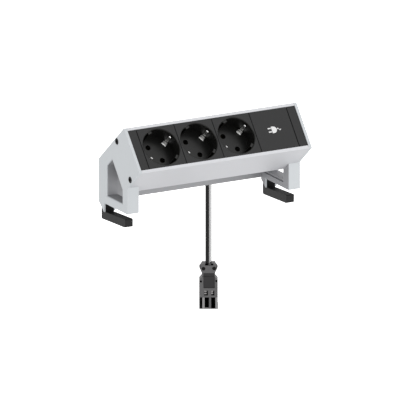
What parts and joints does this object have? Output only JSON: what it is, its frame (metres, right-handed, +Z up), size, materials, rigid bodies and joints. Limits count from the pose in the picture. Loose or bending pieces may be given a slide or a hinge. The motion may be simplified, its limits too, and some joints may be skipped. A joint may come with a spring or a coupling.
{
  "type": "desk power strip",
  "caption": "Desk-edge power strip: tilted aluminium body with earthed sockets and a blank module, two clamp brackets, and a short supply cord ending in an installation connector.",
  "frame": {"origin": "midway along the strip, on the desk top's plane at the desk's rear edge: Z = 0 is the underside of the bracket feet and Y = 0 the rear stops that meet the desk's edge", "axes": "+X along the strip, to the right for someone at the desk; +Y to the back of the desk; +Z up"},
  "size_m": [0.1964, 0.1027, 0.2181],
  "materials": {
    "anodised_aluminium": "matt silver anodised",
    "cast_silver": "matt silver powder coat",
    "black_plastic": "fine texture",
    "black_metal": "matt black powder coat",
    "black_screw": "black oxide",
    "steel": "bright plated",
    "brass": "plain",
    "insulator": "smooth",
    "cord_rubber": "smooth sheath",
    "connector_plastic": "smooth"
  },
  "bodies": {
    "strip": {"bend_relief": "cord_rubber", "blank_module": "black_plastic", "body_profile": "anodised_aluminium", "cable_outlet": "black_plastic", "contact_carrier_1": "insulator", "contact_carrier_2": "insulator", "contact_carrier_3": "insulator", "cord_clip": "black_plastic", "earth_busbar": "brass", "earth_clip_1": "steel", "earth_clip_2": "steel", "earth_clip_3": "steel", "end_screw_left_lower": "black_screw", "end_screw_left_upper": "black_screw", "end_screw_right_lower": "black_screw", "end_screw_right_upper": "black_screw", "inner_cable": "cord_rubber", "left_end_bracket": "cast_silver", "left_end_trim": "black_plastic", "line_busbar": "brass", "line_sleeve_1": "brass", "line_sleeve_2": "brass", "line_sleeve_3": "brass", "neutral_busbar": "brass", "neutral_sleeve_1": "brass", "neutral_sleeve_2": "brass", "neutral_sleeve_3": "brass", "outlet_screw_left": "steel", "outlet_screw_right": "steel", "plug_cap": "connector_plastic", "plug_contact_1": "brass", "plug_contact_2": "brass", "plug_contact_3": "brass", "plug_housing": "connector_plastic", "plug_screw_left": "steel", "plug_screw_right": "steel", "right_end_bracket": "cast_silver", "right_end_trim": "black_plastic", "socket_housing_1": "black_plastic", "socket_housing_2": "black_plastic", "socket_housing_3": "black_plastic", "supply_cord": "cord_rubber", "terminal_block": "insulator"},
    "left_jaw": {"left_clamp_jaw": "black_metal"},
    "right_jaw": {"right_clamp_jaw": "black_metal"},
    "left_spindle": {"left_clamp_spindle": "steel"},
    "right_spindle": {"right_clamp_spindle": "steel"}
  },
  "joints": [
    {"name": "left_jaw_slide", "type": "slide", "parent": "strip", "child": "left_jaw", "axis": [0, 0, -1], "range_m": [0, 0.022]},
    {"name": "left_spindle_turn", "type": "hinge", "parent": "strip", "child": "left_spindle", "pos_m": [-0.09135, 0.004, 0], "axis": [0, 0, 1], "range_deg": [0, 7920.01]},
    {"name": "right_jaw_slide", "type": "slide", "parent": "strip", "child": "right_jaw", "axis": [0, 0, -1], "range_m": [0, 0.022]},
    {"name": "right_spindle_turn", "type": "hinge", "parent": "strip", "child": "right_spindle", "pos_m": [0.09135, 0.004, 0], "axis": [0, 0, 1], "range_deg": [0, 7920.01]}
  ],
  "couplings": [
    {"joint": "left_spindle_turn", "follows": "left_jaw_slide", "rad_per_m": 6283.2},
    {"joint": "right_spindle_turn", "follows": "right_jaw_slide", "rad_per_m": 6283.2}
  ]
}
